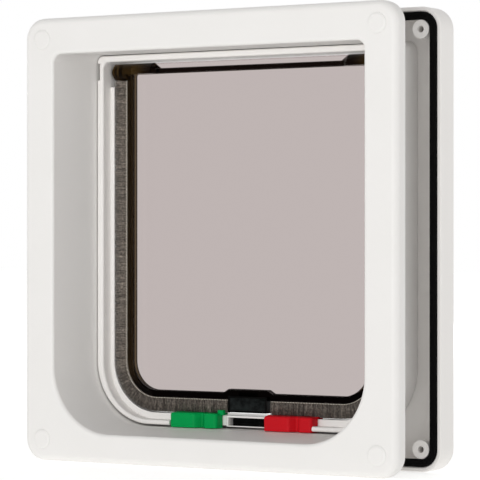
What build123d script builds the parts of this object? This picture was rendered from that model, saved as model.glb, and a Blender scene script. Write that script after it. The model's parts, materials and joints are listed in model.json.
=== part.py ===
from build123d import *
import os

# Four-way cat flap in millimetres.
# X runs across, Y from the room side (-) to the weather side (+), Z up from the flanges' bottom edges.

# Both flanges
flange_width = 196.8
flange_height = 204.0
flange_corner = 9.8
overall_depth = 53.6            # room face to weather face, with the two halves pushed home

# Room half: shell flange and tunnel
room_plate = 2.4
room_skirt_depth = 7.2
room_skirt_wall = 2.2
room_edge_radius = 3.0
side_border = 16.25             # flange face beside the tunnel's mouth
top_border = 16.8
bottom_border = 13.2
tunnel_low_corner = 30.5
tunnel_high_corner = 4.0
tunnel_wall = 1.8
tunnel_lip_radius = 1.5
tunnel_end_gap = 0.3            # between the tunnel's end and the dish's floor
sleeve_lead = 0.6               # straight sleeve in front of the collar's edge
sleeve_side_gap = 0.4           # round the collar
sleeve_floor_gap = 1.0
sleeve_top_gap = 0.4

# Screw line and its caps
screw_inset_x = 10.0            # from the flange's side edge
screw_inset_z = 9.9             # from its top or bottom edge
screw_pilot = 3.0
screw_clearance_hole = 4.2
screw_head_bore = 7.4
screw_head_depth = 3.6
room_pillar = 10.4
cap_diameter = 9.0
cap_seat_depth = 1.0
cap_rise = 0.4                  # of its flat top over the flange
cap_edge_rise = 0.1
cap_bevel = 0.9
cap_stem_length = 0.5
cap_gap = 0.05                  # round the cap's head and its stem

# Weather half: dish flange
dish_depth = 14.0
dish_plate = 3.0
dish_edge_radius = 2.8
dish_lip_bevel = 0.5
dish_lip = 2.1
gasket_width = 3.4
gasket_thickness = 4.1
gasket_proud = 0.9
gasket_gap = 0.1
gasket_edge_bevel = 0.7
boss_diameter = 8.2
boss_height = 11.0
pilot_depth = 9.5

# Weather half: collar that slides in the tunnel
collar_side_inset = 3.35        # inside the tunnel's mouth
collar_floor_inset = 3.2
collar_top_rise = 0.7           # above the mouth's roof
collar_reach = 20.0             # in front of the dish's floor
collar_wall = 3.3
collar_floor_wall = 2.1
collar_roof_wall = 2.9
collar_low_corner = 29.0
collar_high_corner = 3.0
collar_edge_radius = 1.0
collar_outer_bevel = 0.5
step_setback = 6.3              # behind the collar's front edge
step_width = 2.1
step_rise = 2.9

# Flap: smoked panel with rim, rib and hinge barrels
flap_setback = 9.5              # flap's middle plane behind the collar's front edge
brush_bore_gap = 0.3
brush_length = 6.6
brush_depth = 6.0
brush_root_gap = 0.05
brush_short_length = 5.9        # over the locks
brush_finger_length = 4.5       # over the locks' fingers
brush_left_inner = 10.7         # the left strip reaches the magnet block
brush_right_inner = 12.7        # the right one stops short of it
brush_short_outer = 39.0
brush_top_drop = 0.3            # below the barrels
panel_thickness = 2.5
rim_width = 3.3
rim_depth = 5.0
rim_edge_bevel = 0.4
rib_height = 2.4
flap_lip = 3.7                  # above the hinge axis
flap_inner_corner = 1.0
barrel_diameter = 8.0
barrel_roof_gap = 0.5
barrel_side_gap = 1.7
barrel_run = 25.0               # inward from the barrel's end to the foot of its taper
barrel_taper = 3.9
spigot_diameter = 4.0
spigot_length = 4.4
spigot_clearance = 0.05
hinge_pocket_drop = 7.0         # below the hinge axis
hinge_pocket_depth = 6.5        # behind the hinge axis

# Pivot bushes in the collar's sides
bush_seat_depth = 1.6
bush_seat_height = 7.8
bush_flange = 1.5
bush_sleeve_diameter = 6.4
bush_gap = 0.05

# Magnet block at the flap's foot
carrier_width = 20.8
carrier_height = 7.4
carrier_seat_height = 1.7       # how far it is let into the rim
carrier_wall = 0.8
carrier_edge_radius = 0.5
carrier_tenon_width = 10.0
carrier_tenon_depth = 2.0
carrier_tenon_height = 1.6
magnet_depth = 3.8
magnet_gap = 0.1
boss_rise = 1.6                 # of the rim over the block
boss_shoulder = 2.6

# Sill: catch magnet, its cover and the lock channels
lock_recess_width = 76.4
sill_magnet_width = 16.0
sill_magnet_height = 3.8
sill_magnet_depth = 4.8
sill_magnet_floor = 0.4
sill_recess_width = 19.6        # open seat that the magnet stands in
cover_width = 21.8
cover_thickness = 1.2
cover_gap = 0.1
channel_setback = 1.9           # behind the step's face
channel_width = 2.5
channel_depth = 1.9

# Slide locks
lock_width = 25.0
lock_end_gap = 0.4
lock_travel = 9.0
lock_gap = 0.3
lock_slide_gap = 0.15
lock_bridge = 0.85
lock_thumb_depth = 6.2
lock_small_setback = 0.7        # of the narrow lump behind the wide one
lock_groove_share = 0.64
lock_groove_depth = 3.8
lock_groove_half = 2.6
lock_groove_radius = 0.9
lock_crest_radius = 1.8
lock_end_radius = 1.5
lock_edge_radius = 1.2
lock_foot = 1.0
lock_foot_drop = 0.7            # below the collar
foot_groove_depth = 0.5
lock_foot_reach = 3.5
lock_lip_width = 17.8
lock_lip_gap = 0.2
lock_finger_width = 3.0
lock_finger_reach = 1.4         # past the thumb piece's inner end
lock_finger_rise = 1.4
lock_finger_depth = 1.8
lock_finger_gap = 0.3

# Places worked out from the sizes above
room_face = cap_rise - (overall_depth + cap_rise) / 2
weather_face = room_face + overall_depth
dish_rim = weather_face - dish_depth
dish_floor = weather_face - dish_plate
gasket_ledge = dish_rim - gasket_proud + gasket_thickness
tunnel_end = dish_floor - tunnel_end_gap
tunnel_half = flange_width / 2 - side_border
tunnel_floor = bottom_border
tunnel_roof = flange_height - top_border
collar_front = dish_floor - collar_reach
collar_half = tunnel_half - collar_side_inset
collar_bottom = tunnel_floor + collar_floor_inset
collar_top = tunnel_roof + collar_top_rise
sleeve_front = collar_front - sleeve_lead
bore_half = collar_half - collar_wall
bore_bottom = collar_bottom + collar_floor_wall
bore_top = collar_top - collar_roof_wall
bore_low_corner = collar_low_corner - collar_wall
step_front = collar_front + step_setback
step_half = bore_half - step_width
step_bottom = bore_bottom + step_rise
step_low_corner = bore_low_corner - step_width
flap_middle = collar_front + flap_setback
hinge_height = bore_top - barrel_roof_gap - barrel_diameter / 2
brush_half = step_half - brush_bore_gap
brush_bottom = step_bottom + 2 * brush_bore_gap
brush_corner = step_low_corner - brush_bore_gap
flap_half = brush_half - brush_length
flap_bottom = brush_bottom + brush_length
flap_corner = brush_corner - brush_length
rib_top = hinge_height + rib_height / 2
rib_bottom = rib_top - rib_height
barrel_end = bore_half - barrel_side_gap
carrier_top = flap_bottom + carrier_seat_height
carrier_bottom = carrier_top - carrier_height
magnet_width = carrier_width - 2 * carrier_wall
recess_half = lock_recess_width / 2
sill_magnet_bottom = collar_bottom + sill_magnet_floor
sill_magnet_top = sill_magnet_bottom + sill_magnet_height
sill_magnet_front = step_front + cover_thickness
channel_front = step_front + channel_setback
lock_outer = recess_half - lock_end_gap
lock_inner = lock_outer - lock_width
channel_inner = lock_outer - lock_lip_width - lock_travel - lock_lip_gap
lock_back = step_front - lock_gap
lock_front = lock_back - lock_thumb_depth
bridge_bottom = step_bottom + lock_slide_gap
bridge_top = bridge_bottom + lock_bridge
foot_bottom = collar_bottom - lock_foot_drop
foot_top = foot_bottom + lock_foot
bridge_back = channel_front + channel_width - lock_lip_gap
finger_top = bridge_top + lock_finger_rise


def upright(y):
    """Plane across the flap at depth y: local x is X and local y is Z."""
    return Plane.XZ.offset(-y)


def arched_outline(half_width, bottom, top, low_corner, high_corner, mode=Mode.ADD):
    """Face with one radius at its two lower corners and one at its two upper ones."""
    corners = [(-half_width, bottom), (half_width, bottom), (half_width, top), (-half_width, top)]
    radii = [low_corner, low_corner, high_corner, high_corner]
    with BuildLine() as outline:
        FilletPolyline(*corners, radius=radii, close=True)
    make_face(outline.edges(), mode=mode)


def flange_outline(inset, mode=Mode.ADD):
    """The flanges' shared outline, set in evenly from its edge."""
    with Locations((0, flange_height / 2)):
        RectangleRounded(
            flange_width - 2 * inset, flange_height - 2 * inset, flange_corner - inset, mode=mode
        )


def mouth_outline(outset):
    """The tunnel's inner outline at its mouth, set out evenly by a wall."""
    arched_outline(
        tunnel_half + outset,
        tunnel_floor - outset,
        tunnel_roof + outset,
        tunnel_low_corner + outset,
        tunnel_high_corner + outset,
    )


def sleeve_outline(outset):
    """The tunnel's inner outline round the collar, set out evenly by a wall."""
    arched_outline(
        collar_half + sleeve_side_gap + outset,
        collar_bottom - sleeve_floor_gap - outset,
        collar_top + sleeve_top_gap + outset,
        collar_low_corner + sleeve_side_gap + outset,
        collar_high_corner + sleeve_side_gap + outset,
    )


def screw_places():
    """The four screw centres, left to right and bottom to top."""
    across = flange_width / 2 - screw_inset_x
    return [
        (side * across, level)
        for level in (screw_inset_z, flange_height - screw_inset_z)
        for side in (-1, 1)
    ]


def block(x_range, y_range, z_range, mode=Mode.ADD):
    """A box given by its ranges."""
    ranges = (x_range, y_range, z_range)
    centre = [(low + high) / 2 for low, high in ranges]
    sizes = [abs(high - low) for low, high in ranges]
    with Locations(tuple(centre)):
        Box(*sizes, mode=mode)


# Room half: shell flange, screw pillars and a tunnel that narrows to a sleeve for the collar
with BuildPart() as inner_frame:
    with BuildSketch(upright(room_face)):
        flange_outline(0)
    extrude(amount=-room_skirt_depth)
    fillet(inner_frame.faces().sort_by(Axis.Y)[0].outer_wire().edges(), room_edge_radius)
    with BuildSketch(upright(room_face + room_plate)):
        flange_outline(room_skirt_wall)
    extrude(amount=-(room_skirt_depth - room_plate), mode=Mode.SUBTRACT)
    with BuildSketch(upright(room_face + room_plate)):
        with Locations(*screw_places()):
            Circle(room_pillar / 2)
    extrude(amount=-(room_skirt_depth - room_plate))
    with BuildSketch(upright(room_face + room_plate)):
        mouth_outline(tunnel_wall)
    with BuildSketch(upright(sleeve_front)):
        sleeve_outline(tunnel_wall)
    loft(ruled=True)
    with BuildSketch(upright(sleeve_front)):
        sleeve_outline(tunnel_wall)
    extrude(amount=-(tunnel_end - sleeve_front))
    with BuildSketch(upright(room_face)):
        mouth_outline(0)
    with BuildSketch(upright(sleeve_front)):
        sleeve_outline(0)
    loft(ruled=True, mode=Mode.SUBTRACT)
    with BuildSketch(upright(sleeve_front)):
        sleeve_outline(0)
    extrude(amount=-(tunnel_end - sleeve_front), mode=Mode.SUBTRACT)
    tunnel_mouth = inner_frame.faces().sort_by(Axis.Y)[0].inner_wires()
    fillet(tunnel_mouth.edges(), tunnel_lip_radius)
    with BuildSketch(upright(room_face)):
        with Locations(*screw_places()):
            Circle(cap_diameter / 2 + cap_gap)
    extrude(amount=-cap_seat_depth, mode=Mode.SUBTRACT)
    with BuildSketch(upright(room_face)):
        with Locations(*screw_places()):
            Circle(screw_head_bore / 2)
    extrude(amount=-screw_head_depth, mode=Mode.SUBTRACT)
    with BuildSketch(upright(room_face)):
        with Locations(*screw_places()):
            Circle(screw_clearance_hole / 2)
    extrude(amount=-room_skirt_depth, mode=Mode.SUBTRACT)

# Domed push-in caps over the screw heads
cap_names = [
    "screw_cap_bottom_left",
    "screw_cap_bottom_right",
    "screw_cap_top_left",
    "screw_cap_top_right",
]
screw_caps = []
for place in screw_places():
    with BuildPart() as screw_cap:
        cap_radius = cap_diameter / 2
        stem_radius = screw_head_bore / 2 - cap_gap
        stem_end = cap_seat_depth + cap_stem_length
        with BuildSketch(Plane((place[0], room_face, place[1]))):
            with BuildLine():
                Polyline(
                    (0, -cap_rise),
                    (cap_radius - cap_bevel, -cap_rise),
                    (cap_radius, -cap_edge_rise),
                    (cap_radius, cap_seat_depth),
                    (stem_radius, cap_seat_depth),
                    (stem_radius, stem_end),
                    (0, stem_end),
                    close=True,
                )
            make_face()
        revolve(axis=Axis((place[0], 0, place[1]), (0, 1, 0)))
    screw_caps.append(screw_cap.part)

# Weather half: dish, bosses and stepped collar with hinge seats and lock sill
with BuildPart() as outer_frame:
    with BuildSketch(upright(dish_rim)):
        flange_outline(0)
    extrude(amount=-dish_depth)
    fillet(outer_frame.faces().sort_by(Axis.Y)[-1].outer_wire().edges(), dish_edge_radius)
    with BuildSketch(upright(dish_rim)):
        flange_outline(dish_lip)
    extrude(amount=-(gasket_ledge - dish_rim), mode=Mode.SUBTRACT)
    chamfer(outer_frame.faces().sort_by(Axis.Y)[0].edges(), dish_lip_bevel)
    with BuildSketch(upright(dish_rim)):
        flange_outline(dish_lip + gasket_width)
    extrude(amount=-(dish_floor - dish_rim), mode=Mode.SUBTRACT)
    with BuildSketch(upright(dish_floor - boss_height)):
        with Locations(*screw_places()):
            Circle(boss_diameter / 2)
    extrude(amount=-boss_height)
    with BuildSketch(upright(dish_floor - boss_height)):
        with Locations(*screw_places()):
            Circle(screw_pilot / 2)
    extrude(amount=-pilot_depth, mode=Mode.SUBTRACT)
    with BuildSketch(upright(collar_front)):
        arched_outline(collar_half, collar_bottom, collar_top, collar_low_corner, collar_high_corner)
    extrude(amount=-collar_reach)
    with BuildSketch(upright(collar_front)):
        arched_outline(step_half, step_bottom, bore_top, step_low_corner, collar_high_corner)
    extrude(amount=-(weather_face - collar_front), mode=Mode.SUBTRACT)
    with BuildSketch(upright(collar_front)):
        arched_outline(bore_half, bore_bottom, bore_top, bore_low_corner, collar_high_corner)
    extrude(amount=-step_setback, mode=Mode.SUBTRACT)
    collar_rim = outer_frame.faces().sort_by(Axis.Y)[0]
    fillet(collar_rim.inner_wires().edges(), collar_edge_radius)
    chamfer(outer_frame.faces().sort_by(Axis.Y)[0].outer_wire().edges(), collar_outer_bevel)
    for side in (-1, 1):
        block(
            (0, side * bore_half),
            (collar_front + step_setback / 2, flap_middle + hinge_pocket_depth),
            (hinge_height - hinge_pocket_drop, bore_top),
            mode=Mode.SUBTRACT,
        )
        block(
            (side * (collar_half - bush_seat_depth), side * (collar_half + bush_seat_depth)),
            (collar_front, flap_middle + bush_seat_height / 2),
            (hinge_height - bush_seat_height / 2, hinge_height + bush_seat_height / 2),
            mode=Mode.SUBTRACT,
        )
        with Locations(Location((side * collar_half, flap_middle, hinge_height), (0, 90, 0))):
            Cylinder(bush_sleeve_diameter / 2, 2 * collar_wall, mode=Mode.SUBTRACT)
        block(
            (side * channel_inner, side * recess_half),
            (channel_front, channel_front + channel_width),
            (step_bottom - channel_depth, step_bottom),
            mode=Mode.SUBTRACT,
        )
        block(
            (side * channel_inner, side * recess_half),
            (step_front, lock_back + lock_foot_reach + lock_gap),
            (collar_bottom, collar_bottom + foot_groove_depth),
            mode=Mode.SUBTRACT,
        )
    block(
        (-recess_half, recess_half),
        (collar_front, step_front),
        (collar_bottom, step_bottom),
        mode=Mode.SUBTRACT,
    )
    block(
        (-cover_width / 2, cover_width / 2),
        (step_front, sill_magnet_front),
        (sill_magnet_bottom, step_bottom),
        mode=Mode.SUBTRACT,
    )
    block(
        (-sill_recess_width / 2, sill_recess_width / 2),
        (sill_magnet_front, sill_magnet_front + sill_magnet_depth + magnet_gap),
        (sill_magnet_bottom, sill_magnet_top + magnet_gap),
        mode=Mode.SUBTRACT,
    )

# Foam ring on the dish's ledge
with BuildPart() as foam_gasket:
    with BuildSketch(upright(dish_rim - gasket_proud)):
        flange_outline(dish_lip + gasket_gap)
        flange_outline(dish_lip + gasket_width, mode=Mode.SUBTRACT)
    extrude(amount=-gasket_thickness)
    chamfer(foam_gasket.faces().sort_by(Axis.Y)[0].edges(), gasket_edge_bevel)

# Bushes that line the hinge holes, seated in the notches of the collar's sides
pivot_bushes = []
for side in (-1, 1):
    seat = side * (collar_half - bush_seat_depth)
    with BuildPart() as pivot_bush:
        block(
            (seat, seat + side * bush_flange),
            (flap_middle - bush_seat_height / 2, flap_middle + bush_seat_height / 2 - bush_gap),
            (hinge_height - bush_seat_height / 2 + bush_gap, hinge_height + bush_seat_height / 2 - bush_gap),
        )
        sleeve_length = collar_wall - bush_seat_depth
        with Locations(Location((seat - side * sleeve_length / 2, flap_middle, hinge_height), (0, 90, 0))):
            Cylinder(bush_sleeve_diameter / 2 - bush_gap, sleeve_length)
        with Locations(Location((seat, flap_middle, hinge_height), (0, 90, 0))):
            Cylinder(spigot_diameter / 2 + spigot_clearance, 4 * collar_wall, mode=Mode.SUBTRACT)
    pivot_bushes.append(pivot_bush.part)

# Hinge barrels with their spigots, cleared below the rib where the panel hangs
with BuildPart() as hinge_barrels:
    for side in (-1, 1):
        with BuildSketch(Plane((0, flap_middle, hinge_height), x_dir=(1, 0, 0), z_dir=(0, -1, 0))):
            with BuildLine():
                Polyline(
                    (side * (barrel_end - barrel_run), 0),
                    (side * (barrel_end - barrel_run), rib_height / 2),
                    (side * (barrel_end - barrel_run + barrel_taper), barrel_diameter / 2),
                    (side * barrel_end, barrel_diameter / 2),
                    (side * barrel_end, spigot_diameter / 2),
                    (side * (barrel_end + spigot_length), spigot_diameter / 2),
                    (side * (barrel_end + spigot_length), 0),
                    close=True,
                )
            make_face()
        revolve(axis=Axis((0, flap_middle, hinge_height), (1, 0, 0)))
    block(
        (-flap_half, flap_half),
        (flap_middle - barrel_diameter, flap_middle + barrel_diameter),
        (hinge_height - barrel_diameter, rib_bottom),
        mode=Mode.SUBTRACT,
    )

# Flap: rim with its magnet boss, rounded on both faces, then panel, barrels and the block's seat
with BuildPart() as flap:
    with BuildSketch(upright(flap_middle - rim_depth / 2)):
        arched_outline(flap_half, flap_bottom, rib_top, flap_corner, flap_inner_corner)
        arched_outline(
            flap_half - rim_width,
            flap_bottom + rim_width,
            rib_bottom,
            flap_corner - rim_width,
            flap_inner_corner,
            mode=Mode.SUBTRACT,
        )
        with BuildLine():
            Polyline(
                (-carrier_width / 2 - boss_shoulder, flap_bottom + rim_width),
                (-carrier_width / 2, flap_bottom + rim_width + boss_rise),
                (carrier_width / 2, flap_bottom + rim_width + boss_rise),
                (carrier_width / 2 + boss_shoulder, flap_bottom + rim_width),
                (carrier_width / 2 + boss_shoulder, flap_bottom),
                (-carrier_width / 2 - boss_shoulder, flap_bottom),
                close=True,
            )
        make_face()
    extrude(amount=-rim_depth)
    rim_faces = flap.faces().filter_by(Plane.XZ)
    chamfer(rim_faces.edges(), rim_edge_bevel)
    with BuildSketch(upright(flap_middle - panel_thickness / 2)):
        arched_outline(flap_half, flap_bottom, hinge_height + flap_lip, flap_corner, flap_inner_corner)
    extrude(amount=-panel_thickness)
    add(hinge_barrels.part)
    block(
        (-carrier_width / 2, carrier_width / 2),
        (flap_middle - rim_depth, flap_middle + rim_depth),
        (flap_bottom - rim_width, carrier_top),
        mode=Mode.SUBTRACT,
    )
    tenon_half = carrier_tenon_width / 2 + magnet_gap
    tenon_reach = carrier_tenon_depth / 2 + magnet_gap
    block(
        (-tenon_half, tenon_half),
        (flap_middle - tenon_reach, flap_middle + tenon_reach),
        (carrier_top, carrier_top + carrier_tenon_height + magnet_gap),
        mode=Mode.SUBTRACT,
    )

# Pile strips round the flap's edge, shorter over the locks and their fingers
brushes = []
for side, inner_end in ((-1, brush_left_inner), (1, brush_right_inner)):
    with BuildPart() as brush:
        with BuildSketch(upright(flap_middle - brush_depth / 2)):
            brush_top = hinge_height - barrel_diameter / 2 - brush_top_drop
            arched_outline(brush_half, brush_bottom, brush_top, brush_corner, 0)
            root_half = flap_half + brush_root_gap
            root_bottom = flap_bottom - brush_root_gap
            root_top = brush_top + brush_length
            root_corner = flap_corner + brush_root_gap
            arched_outline(root_half, root_bottom, root_top, root_corner, 0, mode=Mode.SUBTRACT)
            finger_zone = lock_inner - lock_finger_reach + lock_finger_width + lock_finger_gap
            for reach, length in (
                (brush_short_outer, brush_short_length),
                (finger_zone, brush_finger_length),
            ):
                with Locations((0, flap_bottom - length)):
                    Rectangle(2 * reach, brush_half, align=(Align.CENTER, Align.MAX), mode=Mode.SUBTRACT)
            with Locations((-side * (brush_half - inner_end), 0)):
                Rectangle(2 * brush_half, 2 * flange_height, mode=Mode.SUBTRACT)
        extrude(amount=-brush_depth)
    brushes.append(brush.part)

# Magnet block: carrier with a tenon in the rim, and the ferrite bar in its face
with BuildPart() as magnet_carrier:
    carrier_front = flap_middle - rim_depth / 2
    block(
        (-carrier_width / 2, carrier_width / 2),
        (carrier_front, carrier_front + rim_depth),
        (carrier_bottom, carrier_top),
    )
    fillet(magnet_carrier.edges().filter_by(Axis.Y).group_by(Axis.Z)[0], carrier_edge_radius)
    block(
        (-carrier_tenon_width / 2, carrier_tenon_width / 2),
        (flap_middle - carrier_tenon_depth / 2, flap_middle + carrier_tenon_depth / 2),
        (carrier_top, carrier_top + carrier_tenon_height),
    )
    block(
        (-magnet_width / 2, magnet_width / 2),
        (carrier_front, carrier_front + magnet_depth),
        (carrier_bottom + carrier_wall, carrier_top - carrier_wall),
        mode=Mode.SUBTRACT,
    )

with BuildPart() as flap_magnet:
    block(
        (-magnet_width / 2 + magnet_gap, magnet_width / 2 - magnet_gap),
        (carrier_front + magnet_gap, carrier_front + magnet_depth),
        (carrier_bottom + carrier_wall + magnet_gap, carrier_top - carrier_wall - magnet_gap),
    )

# Catch magnet in the sill and the white bridge that holds it there
with BuildPart() as sill_magnet:
    block(
        (-sill_magnet_width / 2, sill_magnet_width / 2),
        (sill_magnet_front, sill_magnet_front + sill_magnet_depth),
        (sill_magnet_bottom, sill_magnet_top),
    )

with BuildPart() as sill_cover:
    block(
        (-cover_width / 2 + cover_gap, cover_width / 2 - cover_gap),
        (step_front, sill_magnet_front),
        (sill_magnet_bottom, step_bottom),
    )
    block(
        (-sill_recess_width / 2, sill_recess_width / 2),
        (step_front, sill_magnet_front),
        (sill_magnet_bottom, sill_magnet_top),
        mode=Mode.SUBTRACT,
    )


def slide_lock(left_end, inward):
    """Clip that rides the sill: a waved thumb piece, a bridge over the step, a lip and a foot.

    left_end is the X of its left end, and inward is the sign of its way to the middle.
    """
    right_end = left_end + lock_width
    groove = left_end + lock_width * lock_groove_share
    small_front = lock_front + lock_small_setback
    corners = [
        (left_end, lock_front, lock_end_radius),
        (groove - lock_groove_half, lock_front, lock_crest_radius),
        (groove, lock_front + lock_groove_depth, lock_groove_radius),
        (groove + lock_groove_half, small_front, lock_crest_radius),
        (right_end, small_front, lock_end_radius),
    ]
    outline = [(left_end, lock_back), *[(x, y) for x, y, _ in corners], (right_end, lock_back)]
    outer_end = left_end if inward > 0 else right_end
    with BuildPart() as lock:
        with BuildSketch(Plane.XY.offset(foot_bottom)):
            with BuildLine():
                Polyline(*outline, close=True)
            make_face()
        extrude(amount=bridge_top - foot_bottom)
        for x, y, radius in corners:
            fillet(lock.edges().filter_by(Axis.Z).sort_by_distance((x, y, bridge_top))[0], radius)
        fillet(lock.faces().sort_by(Axis.Z)[-1].edges().sort_by(Axis.Y)[:-1], lock_edge_radius)
        block((left_end, right_end), (lock_back, bridge_back), (bridge_bottom, bridge_top))
        block(
            (outer_end, outer_end + inward * lock_lip_width),
            (channel_front + lock_lip_gap, bridge_back),
            (step_bottom - channel_depth + lock_lip_gap, bridge_bottom),
        )
        block(
            (outer_end, outer_end + inward * lock_lip_width),
            (lock_back, lock_back + lock_foot_reach),
            (foot_bottom, foot_top),
        )
    return lock.part


def add_finger(body, inner_end, inward, y_range):
    """Upright finger at a lock's inner end, with the web that carries it out to its place."""
    finger_end = inner_end + inward * lock_finger_reach
    finger_root = finger_end - inward * lock_finger_width
    with BuildPart() as fingered:
        add(body)
        block((finger_root, finger_end), (lock_back, y_range[1]), (bridge_bottom, bridge_top))
        block((finger_root, finger_end), y_range, (bridge_bottom, finger_top))
    return fingered.part


# The green lock's finger stands on the room side of the magnet block, the red one's on the weather side
brush_front = flap_middle - brush_depth / 2
brush_back = flap_middle + brush_depth / 2
green_finger = (brush_front - lock_finger_gap - lock_finger_depth, brush_front - lock_finger_gap)
red_finger = (brush_back + lock_finger_gap, brush_back + lock_finger_gap + lock_finger_depth)
green_lock = add_finger(slide_lock(-lock_outer, 1), -lock_inner, 1, green_finger)
red_lock = add_finger(slide_lock(lock_inner, -1), lock_inner, -1, red_finger)

os.makedirs("parts", exist_ok=True)
pieces = {
    "inner_frame": inner_frame.part,
    "outer_frame": outer_frame.part,
    "foam_gasket": foam_gasket.part,
    "pivot_bush_left": pivot_bushes[0],
    "pivot_bush_right": pivot_bushes[1],
    "flap": flap.part,
    "brush_left": brushes[0],
    "brush_right": brushes[1],
    "magnet_carrier": magnet_carrier.part,
    "flap_magnet": flap_magnet.part,
    "sill_magnet": sill_magnet.part,
    "sill_cover": sill_cover.part,
    "green_lock": green_lock,
    "red_lock": red_lock,
}
pieces.update(zip(cap_names, screw_caps))
for name, piece in pieces.items():
    piece.label = name
    export_step(piece, "parts/" + name + ".step")
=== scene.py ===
import bpy
import json
import math
import numpy as np
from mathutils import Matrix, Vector


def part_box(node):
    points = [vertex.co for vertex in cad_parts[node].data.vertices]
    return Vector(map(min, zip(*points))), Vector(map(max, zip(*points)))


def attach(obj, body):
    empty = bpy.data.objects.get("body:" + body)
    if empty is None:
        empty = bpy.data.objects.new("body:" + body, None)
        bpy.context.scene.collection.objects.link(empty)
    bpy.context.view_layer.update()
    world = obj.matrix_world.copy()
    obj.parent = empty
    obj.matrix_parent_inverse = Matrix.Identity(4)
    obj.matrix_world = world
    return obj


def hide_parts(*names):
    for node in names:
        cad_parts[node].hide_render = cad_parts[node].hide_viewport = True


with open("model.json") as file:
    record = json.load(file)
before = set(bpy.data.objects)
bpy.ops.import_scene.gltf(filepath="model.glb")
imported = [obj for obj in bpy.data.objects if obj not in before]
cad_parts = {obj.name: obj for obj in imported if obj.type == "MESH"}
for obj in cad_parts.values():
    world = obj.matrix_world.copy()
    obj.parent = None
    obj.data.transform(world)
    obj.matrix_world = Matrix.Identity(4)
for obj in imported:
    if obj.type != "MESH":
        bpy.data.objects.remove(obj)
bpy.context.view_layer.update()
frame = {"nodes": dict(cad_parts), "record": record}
mm = 0.001
plainWhite = (1, 1, 1, 1)

print("frame loaded:", len(frame["nodes"]), "pieces")


def hexColour(code):
    # sRGB hex to linear: the usual two-part transfer curve, with full alpha
    parts = np.array([int(code[i:i + 2], 16) for i in (1, 3, 5)]) / 255
    linear = np.where(parts <= 0.04045, parts / 12.92, ((parts + 0.055) / 1.055) ** 2.4)
    return (*linear.tolist(), 1.0)


def addNode(tree, kind, settings=None, links=None):
    # settings are input values where the name is an input, and node properties otherwise
    node = tree.nodes.new(kind)
    for name, value in (settings or {}).items():
        if isinstance(name, int) or name in node.inputs:
            node.inputs[name].default_value = value
        else:
            setattr(node, name, value)
    for name, source in (links or {}).items():
        tree.links.new(source, node.inputs[name])
    return node


def newMaterial(name):
    material = bpy.data.materials.new(name)
    material.use_nodes = True
    tree = material.node_tree
    tree.nodes.clear()
    surface = addNode(tree, "ShaderNodeBsdfPrincipled")
    addNode(tree, "ShaderNodeOutputMaterial", links={"Surface": surface.outputs[0]})
    coords = addNode(tree, "ShaderNodeTexCoord")
    return material, tree, surface, coords


def perMetre(sizeMm):
    # texture scale whose features repeat about every sizeMm millimetres
    return 1000 / sizeMm


# Camera: fitted to the flange corners of the photograph, level and 32 degrees to the right
cameraSet = {
    "place": (0.6318, -0.9962, 0.1017),
    "yawDeg": 32.26,
    "focalPixels": 2610,
    "imagePixels": 480,
    "sensorMm": 36.0,
    "near": 0.01,
    "far": 50,
}


def makeCamera(s):
    data = bpy.data.cameras.new("camera")
    data.sensor_width = s["sensorMm"]
    data.lens = s["sensorMm"] * s["focalPixels"] / s["imagePixels"]
    data.clip_start = s["near"]
    data.clip_end = s["far"]
    camera = bpy.data.objects.new("camera", data)
    bpy.context.scene.collection.objects.link(camera)
    camera.location = s["place"]
    camera.rotation_euler = (math.pi / 2, 0, math.radians(s["yawDeg"]))
    bpy.context.scene.camera = camera
    print("camera: lens", round(data.lens, 2), "mm")


makeCamera(cameraSet)

# Studio: white sweep on a lit table, a dim room on the lens side, a strip lamp in front and two soft boxes
# lamps: azimuth and height in degrees, distance and size in metres, power in watts
studioSet = {
    "floorHalf": 6.0,
    "floorColour": "#f4f4f2",
    "floorLift": 0.52,
    "tableGlow": 0.35,
    "skyStrength": 0.56,
    "roomGloss": 0.08,
    "roomEdge": (-0.5, 0.3),
    "aim": (0.0, 0.0, 0.10),
    "lamps": {
        "frontStrip": {
            "azimuth": 4, "height": 0.5, "away": 2.0, "wide": 1.1, "tall": 0.2,
            "power": 10.8, "mirrored": True},
        "sideBox": {
            "azimuth": 66, "height": 8, "away": 2.0, "wide": 0.9, "tall": 0.6,
            "power": 2.2, "mirrored": True},
        "backBox": {
            "azimuth": 195, "height": 14, "away": 2.0, "wide": 0.9, "tall": 0.6,
            "power": 7.0, "mirrored": False},
    },
}


def makeWorld(s):
    # white to the lens and through the clear panel; mirrored rays see white behind and a dim room in front
    world = bpy.data.worlds.new("studio")
    bpy.context.scene.world = world
    world.use_nodes = True
    tree = world.node_tree
    tree.nodes.clear()
    path = addNode(tree, "ShaderNodeLightPath")
    straight = addNode(tree, "ShaderNodeMath", {"operation": "MAXIMUM"},
                       {0: path.outputs["Is Camera Ray"], 1: path.outputs["Is Transmission Ray"]})
    heading = addNode(tree, "ShaderNodeTexCoord")
    split = addNode(tree, "ShaderNodeSeparateXYZ", links={0: heading.outputs["Generated"]})
    roomStart, roomEnd = s["roomEdge"]
    mirrored = addNode(tree, "ShaderNodeMapRange",
                       {"From Min": roomStart, "From Max": roomEnd, "To Min": s["roomGloss"], "To Max": 1.0},
                       {"Value": split.outputs["Y"]})
    ambient = addNode(tree, "ShaderNodeMix", {2: s["skyStrength"]},
                      {0: path.outputs["Is Glossy Ray"], 3: mirrored.outputs[0]})
    strength = addNode(tree, "ShaderNodeMix", {3: 1.0}, {0: straight.outputs[0], 2: ambient.outputs[0]})
    sky = addNode(tree, "ShaderNodeBackground", {"Color": plainWhite}, {"Strength": strength.outputs[0]})
    addNode(tree, "ShaderNodeOutputWorld", links={"Surface": sky.outputs[0]})


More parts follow.
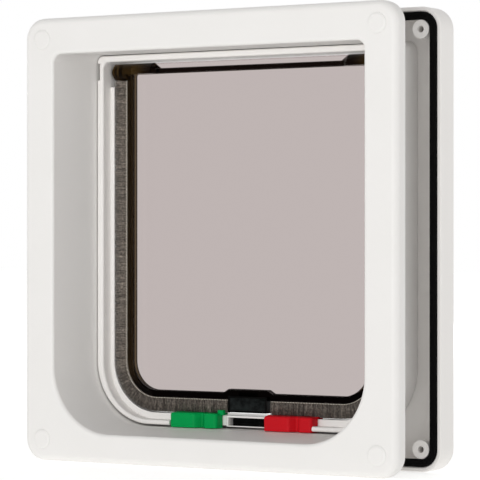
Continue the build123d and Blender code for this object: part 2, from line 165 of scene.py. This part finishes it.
def makeFloor(s):
    # paper sweep on a lit table: lifted to white for the lens, where it still takes the object's shadow,
    # glowing less for the surfaces that it lights, and plain white through the clear panel
    half = s["floorHalf"]
    mesh = bpy.data.meshes.new("floor")
    corners = [(-half, -half, 0), (half, -half, 0), (half, half, 0), (-half, half, 0)]
    mesh.from_pydata(corners, [], [(0, 1, 2, 3)])
    floor = bpy.data.objects.new("floor", mesh)
    bpy.context.scene.collection.objects.link(floor)
    # the clear panel would mirror its far edge as a line
    floor.visible_glossy = False
    material = bpy.data.materials.new("paperSweep")
    material.use_nodes = True
    tree = material.node_tree
    tree.nodes.clear()
    path = addNode(tree, "ShaderNodeLightPath")
    paper = addNode(tree, "ShaderNodeBsdfDiffuse", {"Color": hexColour(s["floorColour"])})
    lift = addNode(tree, "ShaderNodeMix", {2: s["tableGlow"], 3: s["floorLift"]},
                   {0: path.outputs["Is Camera Ray"]})
    glow = addNode(tree, "ShaderNodeEmission", {"Color": plainWhite}, {"Strength": lift.outputs[0]})
    lifted = addNode(tree, "ShaderNodeAddShader", links={0: paper.outputs[0], 1: glow.outputs[0]})
    white = addNode(tree, "ShaderNodeEmission", {"Color": plainWhite, "Strength": 1.0})
    both = addNode(tree, "ShaderNodeMixShader",
                   links={0: path.outputs["Is Transmission Ray"], 1: lifted.outputs[0], 2: white.outputs[0]})
    addNode(tree, "ShaderNodeOutputMaterial", links={"Surface": both.outputs[0]})
    mesh.materials.append(material)


def makeLamp(name, s, aim):
    # azimuth is counted from straight in front towards the right, height from the floor up
    turn, rise = math.radians(s["azimuth"]), math.radians(s["height"])
    reach = Vector((math.sin(turn) * math.cos(rise), -math.cos(turn) * math.cos(rise), math.sin(rise)))
    lamp = bpy.data.lights.new(name, "AREA")
    lamp.shape = "RECTANGLE"
    lamp.size = s["wide"]
    lamp.size_y = s["tall"]
    lamp.energy = s["power"]
    box = bpy.data.objects.new(name, lamp)
    bpy.context.scene.collection.objects.link(box)
    box.location = Vector(aim) + reach * s["away"]
    box.rotation_euler = (-reach).to_track_quat("-Z", "Y").to_euler()
    # the lens and the clear panel look past the lamps, and mirrored says which of them shine back
    box.visible_camera = False
    box.visible_transmission = False
    box.visible_glossy = s["mirrored"]


def makeStudio(s):
    bpy.context.scene.view_settings.view_transform = "Standard"
    makeWorld(s)
    makeFloor(s)
    for name, lamp in s["lamps"].items():
        makeLamp(name, lamp, s["aim"])
    print("studio: white sweep and", len(s["lamps"]), "lamps")


makeStudio(studioSet)

# Plastics: the skin is drawn a few times coarser than a real spark-eroded one, so that it shows
whiteSkin = {"cloudMm": 30, "skinMm": 0.9, "rough": 0.42, "bump": 0.02, "gloss": 0.3}
bushSkin = {"cloudMm": 8, "skinMm": 0.6, "rough": 0.45, "bump": 0.05, "gloss": 0.5}
smallSkin = {"cloudMm": 9, "skinMm": 0.5, "rough": 0.45, "bump": 0.04}
plasticSet = {
    "whiteAbs": {"colour": "#f0eeec", "shade": "#eceae7", **whiteSkin},
    # painted light: a whiter copy of the white ABS for the weather half, standing in for more light on its
    # faces deep in the tunnel
    "paintedLightAbs": {"colour": "#f7f4f1", "shade": "#f3f0ed", **whiteSkin},
    "whiteAcetal": {"colour": "#ededea", "shade": "#e6e6e2", **bushSkin},
    "greenAbs": {"colour": "#00a352", "shade": "#00994c", "gloss": 0.06, **smallSkin},
    "redAbs": {"colour": "#d51b26", "shade": "#c91722", "gloss": 0.06, **smallSkin},
    "blackAbs": {"colour": "#070707", "shade": "#050505", "gloss": 0.08, **smallSkin},
}
mouldSet = {"cloudDetail": 3.0, "skinDetail": 2.0, "roughSwing": 0.04, "bumpMm": 0.05, "ior": 1.53}


def mouldedPlastic(name, s, mould):
    # Injection-moulded ABS or acetal: even colour, a soft sheen and a very fine spark-eroded skin
    material, tree, surface, coords = newMaterial(name)
    cloud = addNode(tree, "ShaderNodeTexNoise",
                    {"Scale": perMetre(s["cloudMm"]), "Detail": mould["cloudDetail"]},
                    {"Vector": coords.outputs["Object"]})
    tone = addNode(tree, "ShaderNodeMix",
                   {"data_type": "RGBA", 6: hexColour(s["colour"]), 7: hexColour(s["shade"])},
                   {0: cloud.outputs[0]})
    tree.links.new(tone.outputs[2], surface.inputs["Base Color"])
    skin = addNode(tree, "ShaderNodeTexNoise",
                   {"Scale": perMetre(s["skinMm"]), "Detail": mould["skinDetail"]},
                   {"Vector": coords.outputs["Object"]})
    swing = mould["roughSwing"]
    rough = addNode(tree, "ShaderNodeMapRange", {"To Min": s["rough"] - swing, "To Max": s["rough"] + swing},
                    {"Value": skin.outputs[0]})
    tree.links.new(rough.outputs[0], surface.inputs["Roughness"])
    bump = addNode(tree, "ShaderNodeBump", {"Strength": s["bump"], "Distance": mould["bumpMm"] * mm},
                   {"Height": skin.outputs[0]})
    tree.links.new(bump.outputs[0], surface.inputs["Normal"])
    surface.inputs["IOR"].default_value = mould["ior"]
    surface.inputs["Specular IOR Level"].default_value = s["gloss"]
    return material


plastics = {name: mouldedPlastic(name, row, mouldSet) for name, row in plasticSet.items()}

foamSet = {
    "colour": "#040404",
    "wall": "#0d0d0d",
    "cellMm": 0.8,
    "bump": 0.5,
    "bumpMm": 0.2,
    "rough": 0.95,
    "gloss": 0.15,
}


def closedCellFoam(name, s):
    # Black closed-cell foam: hardly any gloss, with a grain of small cells
    material, tree, surface, coords = newMaterial(name)
    cells = addNode(tree, "ShaderNodeTexVoronoi", {"Scale": perMetre(s["cellMm"])},
                    {"Vector": coords.outputs["Object"]})
    tone = addNode(tree, "ShaderNodeMix",
                   {"data_type": "RGBA", 6: hexColour(s["colour"]), 7: hexColour(s["wall"])},
                   {0: cells.outputs["Distance"]})
    tree.links.new(tone.outputs[2], surface.inputs["Base Color"])
    bump = addNode(tree, "ShaderNodeBump", {"Strength": s["bump"], "Distance": s["bumpMm"] * mm},
                   {"Height": cells.outputs["Distance"]})
    tree.links.new(bump.outputs[0], surface.inputs["Normal"])
    surface.inputs["Roughness"].default_value = s["rough"]
    surface.inputs["Specular IOR Level"].default_value = s["gloss"]
    return material


blackFoam = closedCellFoam("blackFoam", foamSet)

# Magnets: the bar in the sill gets darker tones than the one in the flap: painted shade, where it lies deep
# in the sill's recess
ferriteSet = {
    "flapTones": ("#040505", "#232727"),
    "sillShadeTones": ("#010101", "#0b0c0c"),
    "mottleMm": 3.0,
    "mottleDetail": 6.0,
    "mottleRough": 0.7,
    "mottleRange": (0.35, 0.65),
    "bump": 0.3,
    "bumpMm": 0.1,
    "rough": 0.7,
    "gloss": 0.06,
}


def sinteredFerrite(name, tones, s):
    # Sintered ferrite: dull charcoal with a mottled, slightly pitted face,
    # drawn coarser than real so that it shows
    material, tree, surface, coords = newMaterial(name)
    dark, light = tones
    scale = perMetre(s["mottleMm"])
    mottle = addNode(tree, "ShaderNodeTexNoise",
                     {"Scale": scale, "Detail": s["mottleDetail"], "Roughness": s["mottleRough"]},
                     {"Vector": coords.outputs["Object"]})
    low, high = s["mottleRange"]
    ramp = addNode(tree, "ShaderNodeMapRange", {"From Min": low, "From Max": high},
                   {"Value": mottle.outputs[0]})
    tone = addNode(tree, "ShaderNodeMix", {"data_type": "RGBA", 6: hexColour(dark), 7: hexColour(light)},
                   {0: ramp.outputs[0]})
    tree.links.new(tone.outputs[2], surface.inputs["Base Color"])
    bump = addNode(tree, "ShaderNodeBump", {"Strength": s["bump"], "Distance": s["bumpMm"] * mm},
                   {"Height": mottle.outputs[0]})
    tree.links.new(bump.outputs[0], surface.inputs["Normal"])
    surface.inputs["Roughness"].default_value = s["rough"]
    surface.inputs["Specular IOR Level"].default_value = s["gloss"]
    return material


ferrite = sinteredFerrite("ferrite", ferriteSet["flapTones"], ferriteSet)
shadedCatchFerrite = sinteredFerrite("shadedCatchFerrite", ferriteSet["sillShadeTones"], ferriteSet)

# Flap zones in millimetres, taken from the brush, which hugs the flap's edge, and from the hinge joint
brushLow, brushHigh = (np.array(corner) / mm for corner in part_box("brush_right"))
flapSet = {
    "pileLength": 6.6,
    "rimWidth": 3.3,
    "cornerRadius": 16.7,
    "ribHalf": 1.2,
    "barrelStart": 48.8,
    "barrelTaper": 3.9 / 2.8,
    "barrelClear": 7.0,
    "bossHalf": 10.4,
    "bossRise": 1.6,
    "bossShoulder": 2.6,
    "footRise": 14.0,
    "edgeSlack": 0.05,
    "panel": "#bfb5b3",
    "rim": "#24190c",
    "rimFootShade": "#050303",
    "rib": "#110a08",
    "barrel": "#3d2d14",
    "mirror": "#4a433c",
    "rough": 0.02,
    "ior": 1.5,
}
flapHalf = brushHigh[0] - flapSet["pileLength"]
flapFoot = brushLow[2] + flapSet["pileLength"]
hingeRow = next(row for row in frame["record"]["behaviour"]["joints"] if row["name"] == "flap_swing")
hingeHeight = hingeRow["pos_m"][2] / mm
print("flap: half width", round(flapHalf, 2), "foot", round(flapFoot, 2), "hinge", round(hingeHeight, 2))


def smokedClear(name, s):
    # Smoke-tinted clear moulding: the thin panel passes about half the light,
    # and the thick rim, rib and barrels almost none
    material, tree, surface, coords = newMaterial(name)
    split = addNode(tree, "ShaderNodeSeparateXYZ", links={0: coords.outputs["Object"]})
    across = addNode(tree, "ShaderNodeMath", {"operation": "ABSOLUTE"}, {0: split.outputs["X"]})
    height = split.outputs["Z"]

    # rim: further than the inner corner radius from the core of the rounded arch
    inner = s["cornerRadius"] - s["rimWidth"]
    coreHalf = (flapHalf - s["cornerRadius"] - s["edgeSlack"]) * mm
    coreFoot = (flapFoot + s["cornerRadius"] + s["edgeSlack"]) * mm
    pastSide = addNode(tree, "ShaderNodeMath", {"operation": "SUBTRACT", 1: coreHalf}, {0: across.outputs[0]})
    pastFoot = addNode(tree, "ShaderNodeMath", {"operation": "SUBTRACT", 0: coreFoot}, {1: height})
    past = addNode(tree, "ShaderNodeCombineXYZ", links={0: pastSide.outputs[0], 1: pastFoot.outputs[0]})
    only = addNode(tree, "ShaderNodeVectorMath", {"operation": "MAXIMUM"}, {0: past.outputs[0]})
    reach = addNode(tree, "ShaderNodeVectorMath", {"operation": "LENGTH"}, {0: only.outputs[0]})
    rim = addNode(tree, "ShaderNodeMath", {"operation": "GREATER_THAN", 1: inner * mm},
                  {0: reach.outputs["Value"]})

    # rib and barrels: a level bar on the hinge line that widens to the barrels at its ends
    lift = addNode(tree, "ShaderNodeMath", {"operation": "SUBTRACT", 1: hingeHeight * mm}, {0: height})
    away = addNode(tree, "ShaderNodeMath", {"operation": "ABSOLUTE"}, {0: lift.outputs[0]})
    rib = addNode(tree, "ShaderNodeMath", {"operation": "LESS_THAN", 1: (s["ribHalf"] + s["edgeSlack"]) * mm},
                  {0: away.outputs[0]})
    taperStart = s["barrelStart"] - s["ribHalf"] * s["barrelTaper"]
    taper = addNode(tree, "ShaderNodeMath",
                    {"operation": "MULTIPLY_ADD", 1: s["barrelTaper"], 2: taperStart * mm},
                    {0: away.outputs[0]})
    beyond = addNode(tree, "ShaderNodeMath", {"operation": "GREATER_THAN"},
                     {0: across.outputs[0], 1: taper.outputs[0]})
    above = addNode(tree, "ShaderNodeMath", {"operation": "GREATER_THAN", 1: -s["ribHalf"] * mm},
                    {0: lift.outputs[0]})
    barrel = addNode(tree, "ShaderNodeMath", {"operation": "MULTIPLY"},
                     {0: beyond.outputs[0], 1: above.outputs[0]})

    # magnet boss: a low block on the foot with sloped shoulders
    bossTop = flapFoot + s["rimWidth"] + s["bossRise"] + s["edgeSlack"]
    slope = s["bossShoulder"] / s["bossRise"]
    shoulderStart = s["bossHalf"] + bossTop * slope
    shoulder = addNode(tree, "ShaderNodeMath",
                       {"operation": "MULTIPLY_ADD", 1: -slope, 2: shoulderStart * mm}, {0: height})
    under = addNode(tree, "ShaderNodeMath", {"operation": "LESS_THAN", 1: bossTop * mm}, {0: height})
    between = addNode(tree, "ShaderNodeMath", {"operation": "LESS_THAN"},
                      {0: across.outputs[0], 1: shoulder.outputs[0]})
    boss = addNode(tree, "ShaderNodeMath", {"operation": "MULTIPLY"},
                   {0: under.outputs[0], 1: between.outputs[0]})

    thick = addNode(tree, "ShaderNodeMath", {"operation": "MAXIMUM"}, {0: rim.outputs[0], 1: rib.outputs[0]})
    thicker = addNode(tree, "ShaderNodeMath", {"operation": "MAXIMUM"},
                      {0: thick.outputs[0], 1: barrel.outputs[0]})
    every = addNode(tree, "ShaderNodeMath", {"operation": "MAXIMUM"},
                    {0: thicker.outputs[0], 1: boss.outputs[0]})
    # painted shade: the rim is darkened along the foot, for the shadow under the flap, and clears up over the
    # first millimetres of the sides
    clearStart = flapFoot + s["rimWidth"] + s["bossRise"]
    clearEnd = flapFoot + s["footRise"]
    footShadeRamp = addNode(tree, "ShaderNodeMapRange", {"From Min": clearStart * mm, "From Max": clearEnd * mm},
                    {"Value": height})
    shadedFootRim = addNode(tree, "ShaderNodeMix",
                    {"data_type": "RGBA", 6: hexColour(s["rimFootShade"]), 7: hexColour(s["rim"])},
                    {0: footShadeRamp.outputs[0]})
    # the rib is nearly as dark as the shaded foot, and the barrels clear up towards their ends
    bar = addNode(tree, "ShaderNodeMix", {"data_type": "RGBA", 7: hexColour(s["rib"])},
                  {0: above.outputs[0], 6: shadedFootRim.outputs[2]})
    outwardStart = s["barrelStart"] + s["barrelClear"]
    outward = addNode(tree, "ShaderNodeMapRange", {"From Min": outwardStart * mm, "From Max": flapHalf * mm},
                      {"Value": across.outputs[0]})
    cleared = addNode(tree, "ShaderNodeMath", {"operation": "MULTIPLY"},
                      {0: barrel.outputs[0], 1: outward.outputs[0]})
    ends = addNode(tree, "ShaderNodeMix", {"data_type": "RGBA", 7: hexColour(s["barrel"])},
                   {0: cleared.outputs[0], 6: bar.outputs[2]})
    tone = addNode(tree, "ShaderNodeMix", {"data_type": "RGBA", 6: hexColour(s["panel"])},
                   {0: every.outputs[0], 7: ends.outputs[2]})
    tree.links.new(tone.outputs[2], surface.inputs["Base Color"])
    surface.inputs["Transmission Weight"].default_value = 1.0
    surface.inputs["Roughness"].default_value = s["rough"]
    surface.inputs["IOR"].default_value = s["ior"]
    surface.inputs["Specular Tint"].default_value = hexColour(s["mirror"])
    return material


smoked = smokedClear("smokedClear", flapSet)

# Pile strips, in millimetres: the fibres are thicker and fewer than real ones
pileSet = {
    "dark": "#574e47",
    "light": "#a3988d",
    "rootShade": 0.85,
    "rootReach": 0.35,
    "footShade": 0.74,
    "fleckMm": 0.9,
    "fleckDetail": 1.0,
    "fleckRange": (0.3, 0.7),
    "fleckDepth": 0.5,
    "rough": 0.75,
    "gloss": 0.25,
    "sheen": 0.15,
    "toneMiddle": 0.5,
    "toneSwell": 0.04,
    "toneSpread": 0.26,
    "rows": 14,
    "pitch": 0.19,
    "pitchJitter": (0.1, 0.9),
    "rowJitter": (0.2, 0.8),
    "width": 0.27,
    "tipWidth": 0.19,
    "uneven": 0.035,
    "splay": 0.05,
    "lean": 0.09,
    "leanSpread": 0.6,
    "waves": (5.3, 2.7, 1.4),
    "rowPhase": 4,
    "shortHalf": 39.0,
    "shortLength": 6.1,
    "footSlack": 0.01,
    "seed": 7194,
}
# Tape of the strips, in millimetres: its threads are drawn coarser than real ones, so that they show
tapeSet = {
    "dark": "#958d80",
    "light": "#d8d1c6",
    "threadMm": 1.4,
    "wobble": 0.5,
    "rough": 0.8,
    "thick": 0.32,
    "easeShare": 0.25,
    "proud": 0.12,
    "step": 0.8,
    "gap": 0.05,
}


def nylonPile(name, s):
    # Draught-strip nylon pile: matt grey-brown fibres, each its own tone, with painted shade towards the root
    # and at the foot
    material, tree, surface, coords = newMaterial(name)
    split = addNode(tree, "ShaderNodeSeparateXYZ", links={0: coords.outputs["UV"]})
    tone = addNode(tree, "ShaderNodeMix",
                   {"data_type": "RGBA", 6: hexColour(s["dark"]), 7: hexColour(s["light"])},
                   {0: split.outputs["X"]})
    # painted shade: the fibres darken towards the root, where the pile shades itself
    rootShadeRamp = addNode(tree, "ShaderNodeMapRange",
                     {"From Max": s["rootReach"], "To Min": s["rootShade"], "To Max": 1.0},
                     {"Value": split.outputs["Y"]})
    # painted shade: the fibres at the foot are darkened, where they stand in shade before the dark rim
    place = addNode(tree, "ShaderNodeSeparateXYZ", links={0: coords.outputs["Object"]})
    cornerTop = flapFoot + flapSet["cornerRadius"]
    footShadeRamp = addNode(tree, "ShaderNodeMapRange",
                    {"From Min": flapFoot * mm, "From Max": cornerTop * mm,
                     "To Min": s["footShade"], "To Max": 1.0},
                    {"Value": place.outputs["Z"]})
    # flecks: single fibres that catch the light or lie in shade
    fleck = addNode(tree, "ShaderNodeTexNoise",
                    {"Scale": perMetre(s["fleckMm"]), "Detail": s["fleckDetail"]},
                    {"Vector": coords.outputs["Object"]})
    low, high = s["fleckRange"]
    glint = addNode(tree, "ShaderNodeMapRange",
                    {"From Min": low, "From Max": high,
                     "To Min": 1 - s["fleckDepth"], "To Max": 1 + s["fleckDepth"]},
                    {"Value": fleck.outputs[0]})
    bright = addNode(tree, "ShaderNodeMath", {"operation": "MULTIPLY"},
                     {0: rootShadeRamp.outputs[0], 1: glint.outputs[0]})
    level = addNode(tree, "ShaderNodeMath", {"operation": "MULTIPLY"},
                    {0: bright.outputs[0], 1: footShadeRamp.outputs[0]})
    shaded = addNode(tree, "ShaderNodeVectorMath", {"operation": "SCALE"},
                     {0: tone.outputs[2], "Scale": level.outputs[0]})
    tree.links.new(shaded.outputs[0], surface.inputs["Base Color"])
    surface.inputs["Roughness"].default_value = s["rough"]
    surface.inputs["Specular IOR Level"].default_value = s["gloss"]
    surface.inputs["Sheen Weight"].default_value = s["sheen"]
    return material


def wovenTape(name, s):
    # Woven backing tape of the strip: pale, with a slanting weave
    material, tree, surface, coords = newMaterial(name)
    # along each axis the slanting bands of this texture repeat every 2 pi / 10 of its scaled units
    bands = perMetre(s["threadMm"]) * 2 * math.pi / 10
    weave = addNode(tree, "ShaderNodeTexWave",
                    {"bands_direction": "DIAGONAL", "Scale": bands, "Distortion": s["wobble"]},
                    {"Vector": coords.outputs["Object"]})
    tone = addNode(tree, "ShaderNodeMix",
                   {"data_type": "RGBA", 6: hexColour(s["dark"]), 7: hexColour(s["light"])},
                   {0: weave.outputs["Fac"]})
    tree.links.new(tone.outputs[2], surface.inputs["Base Color"])
    surface.inputs["Roughness"].default_value = s["rough"]
    return material


pileNylon = nylonPile("nylonPile", pileSet)
pileTape = wovenTape("wovenTape", tapeSet)


def makePiece(name, points, quads, tris, material, uv=None):
    # whole arrays into a mesh: points in millimetres, then the four-sided and three-sided faces
    mesh = bpy.data.meshes.new(name)
    mesh.vertices.add(len(points))
    mesh.vertices.foreach_set("co", (points * mm).ravel())
    corners = np.concatenate([quads.ravel(), tris.ravel()])
    starts = np.concatenate([np.arange(len(quads)) * 4, len(quads) * 4 + np.arange(len(tris)) * 3])
    mesh.loops.add(len(corners))
    mesh.loops.foreach_set("vertex_index", corners)
    mesh.polygons.add(len(starts))
    mesh.polygons.foreach_set("loop_start", starts)
    if uv is not None:
        layer = mesh.uv_layers.new(name="fibre")
        layer.data.foreach_set("uv", uv[corners].ravel())
    mesh.update(calc_edges=True)
    mesh.validate()
    mesh.materials.append(material)
    piece = bpy.data.objects.new(name, mesh)
    bpy.context.scene.collection.objects.link(piece)
    return piece


def edgePath(along):
    # the flap's edge from the hinge end down the side, round the corner arc and in along the foot:
    # place, outward direction and travel direction in the X-Z plane at each distance along it
    radius = flapSet["cornerRadius"]
    side = brushHigh[2] - flapFoot - radius
    turn = np.clip((along - side) / radius, 0, math.pi / 2)
    x = flapHalf - radius + radius * np.cos(turn) - np.maximum(along - side - radius * math.pi / 2, 0)
    z = flapFoot + radius - radius * np.sin(turn) + np.maximum(side - along, 0)
    return x, z, np.cos(turn), -np.sin(turn), -np.sin(turn), -np.cos(turn)


def edgeLength(inner):
    # from the hinge end to the strip's inner end, where X is inner
    radius = flapSet["cornerRadius"]
    return brushHigh[2] - flapFoot - radius + radius * math.pi / 2 + flapHalf - radius - inner


def pileLengths(x, z, s):
    # full length up the sides and round the corner, shorter over the locks;
    # the fibres bend past the locks' fingers, so they aren't cut for them
    overLock = (z < flapFoot + s["footSlack"]) & (x < s["shortHalf"])
    return np.where(overLock, s["shortLength"], flapSet["pileLength"])


def makePile(name, hand, inner, s):
    # rows of tapered three-sided fibres: each starts on the edge path, leans with slow waves along it
    # and a random share, and splays a little towards the strip's two faces
    rng = np.random.default_rng(s["seed"] + (hand > 0))
    count = int(edgeLength(inner) / s["pitch"])
    along = (np.arange(count)[None, :] + rng.uniform(*s["pitchJitter"], (s["rows"], count))) * s["pitch"]
    row = (np.arange(s["rows"])[:, None] + rng.uniform(*s["rowJitter"], (s["rows"], count))) / s["rows"]
    along, row = along.ravel(), row.ravel()
    depth = brushLow[1] + s["width"] / 2 + row * (brushHigh[1] - brushLow[1] - s["width"])
    x, z, outX, outZ, onX, onZ = edgePath(along)
    shift = rng.uniform(0, 2 * math.pi, len(s["waves"]))
    swell = sum(np.sin(along * 2 * math.pi / wave + start + row * s["rowPhase"])
                for wave, start in zip(s["waves"], shift))
    lean = s["lean"] * (swell / len(s["waves"]) + rng.normal(0, s["leanSpread"], along.shape))
    splay = s["splay"] * (row * 2 - 1)
    length = pileLengths(x, z, s) * (1 - s["uneven"] * rng.uniform(0, 1, along.shape))
    spin = rng.uniform(0, 2 * math.pi, along.shape)
    drift = rng.normal(0, s["toneSpread"], along.shape)
    tone = np.clip(s["toneMiddle"] + s["toneSwell"] * swell + drift, 0, 1)

    # three corners round the root, then three round the tip
    corners = 3
    perFibre = 2 * corners
    root = np.stack([x, depth, z], axis=1)
    tip = root + length[:, None] * np.stack([outX + lean * onX, splay, outZ + lean * onZ], axis=1)
    angle = spin[:, None] + np.arange(corners)[None, :] * 2 * math.pi / corners
    ring = np.stack([np.cos(angle) * onX[:, None], np.sin(angle) * hand, np.cos(angle) * onZ[:, None]],
                    axis=2)
    rootRing = root[:, None, :] + ring * s["width"] / 2
    tipRing = tip[:, None, :] + ring * s["tipWidth"] / 2
    points = np.concatenate([rootRing, tipRing], axis=1).reshape(-1, 3)
    points[:, 0] *= hand
    base = np.arange(len(along))[:, None] * perFibre
    sides = (base[:, :, None] + np.array([[0, 1, 4, 3], [1, 2, 5, 4], [2, 0, 3, 5]])[None]).reshape(-1, 4)
    ends = (base[:, :, None] + np.array([[3, 4, 5], [2, 1, 0]])[None]).reshape(-1, 3)
    # the map's first value is the fibre's tone, its second runs from the root, 0, to the tip, 1
    uv = np.stack([np.repeat(tone, perFibre), np.tile([0.0, 0, 0, 1, 1, 1], len(along))], axis=1)
    piece = makePiece(name, points, sides, ends, pileNylon, uv)
    print(name, len(along), "fibres")
    return piece


def makeTape(name, hand, inner, s):
    # flat band with eased edges carried along the edge path, closed at both ends
    stations = int(edgeLength(inner) / s["step"])
    x, z, outX, outZ, _, _ = edgePath(np.linspace(0, edgeLength(inner), stations))
    front, back = brushLow[1] - s["proud"], brushHigh[1] + s["proud"]
    ease = s["thick"] * s["easeShare"]
    low, lowSide, highSide, high = s["gap"], s["gap"] + ease, s["thick"] - ease, s["thick"]
    out = np.array([low, low, lowSide, highSide, high, high, highSide, lowSide])
    deep = np.array([front + ease, back - ease, back, back, back - ease, front + ease, front, front])
    ring = len(out)
    points = np.stack([x[:, None] + outX[:, None] * out, np.broadcast_to(deep, (stations, ring)),
                       z[:, None] + outZ[:, None] * out], axis=2).reshape(-1, 3)
    points[:, 0] *= hand
    here = np.arange(stations - 1)[:, None] * ring + np.arange(ring)[None, :]
    beside = np.arange(stations - 1)[:, None] * ring + (np.arange(ring)[None, :] + 1) % ring
    quads = np.stack([here, beside, beside + ring, here + ring], axis=2).reshape(-1, 4)
    fan = np.stack([np.zeros(ring - 2, int), np.arange(1, ring - 1), np.arange(2, ring)], axis=1)
    tris = np.concatenate([fan[:, ::-1], fan + (stations - 1) * ring])
    if hand < 0:
        quads, tris = quads[:, ::-1], tris[:, ::-1]
    print(name, stations, "stations")
    return makePiece(name, points, quads, tris, pileTape)


for side, hand in (("left", -1), ("right", 1)):
    inner = np.abs(np.array(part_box("brush_" + side))[:, 0]).min() / mm
    pile = makePile("pile_" + side, hand, inner, pileSet)
    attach(pile, "swing_flap")
    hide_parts("brush_" + side)
    tape = makeTape("pile_tape_" + side, hand, inner, tapeSet)
    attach(tape, "swing_flap")

# Finishes: one for each material of the record, and own tones for three pieces: painted light on the weather
# half and painted shade on the sill's magnet
finishes = {
    "white_abs": plastics["whiteAbs"],
    "white_acetal": plastics["whiteAcetal"],
    "green_abs": plastics["greenAbs"],
    "red_abs": plastics["redAbs"],
    "black_abs": plastics["blackAbs"],
    "black_foam": blackFoam,
    "ferrite": ferrite,
    "smoked_clear": smoked,
    "grey_pile": pileNylon,
}
ownFinishes = {
    "outer_frame": plastics["paintedLightAbs"],
    "sill_cover": plastics["paintedLightAbs"],
    "sill_magnet": shadedCatchFerrite,
}
for row in frame["record"]["subparts"]:
    node = frame["nodes"][row["node"]]
    node.data.materials.clear()
    node.data.materials.append(ownFinishes.get(row["node"], finishes[row["material_slot"]]))
print("finishes on", len(frame["nodes"]), "pieces")
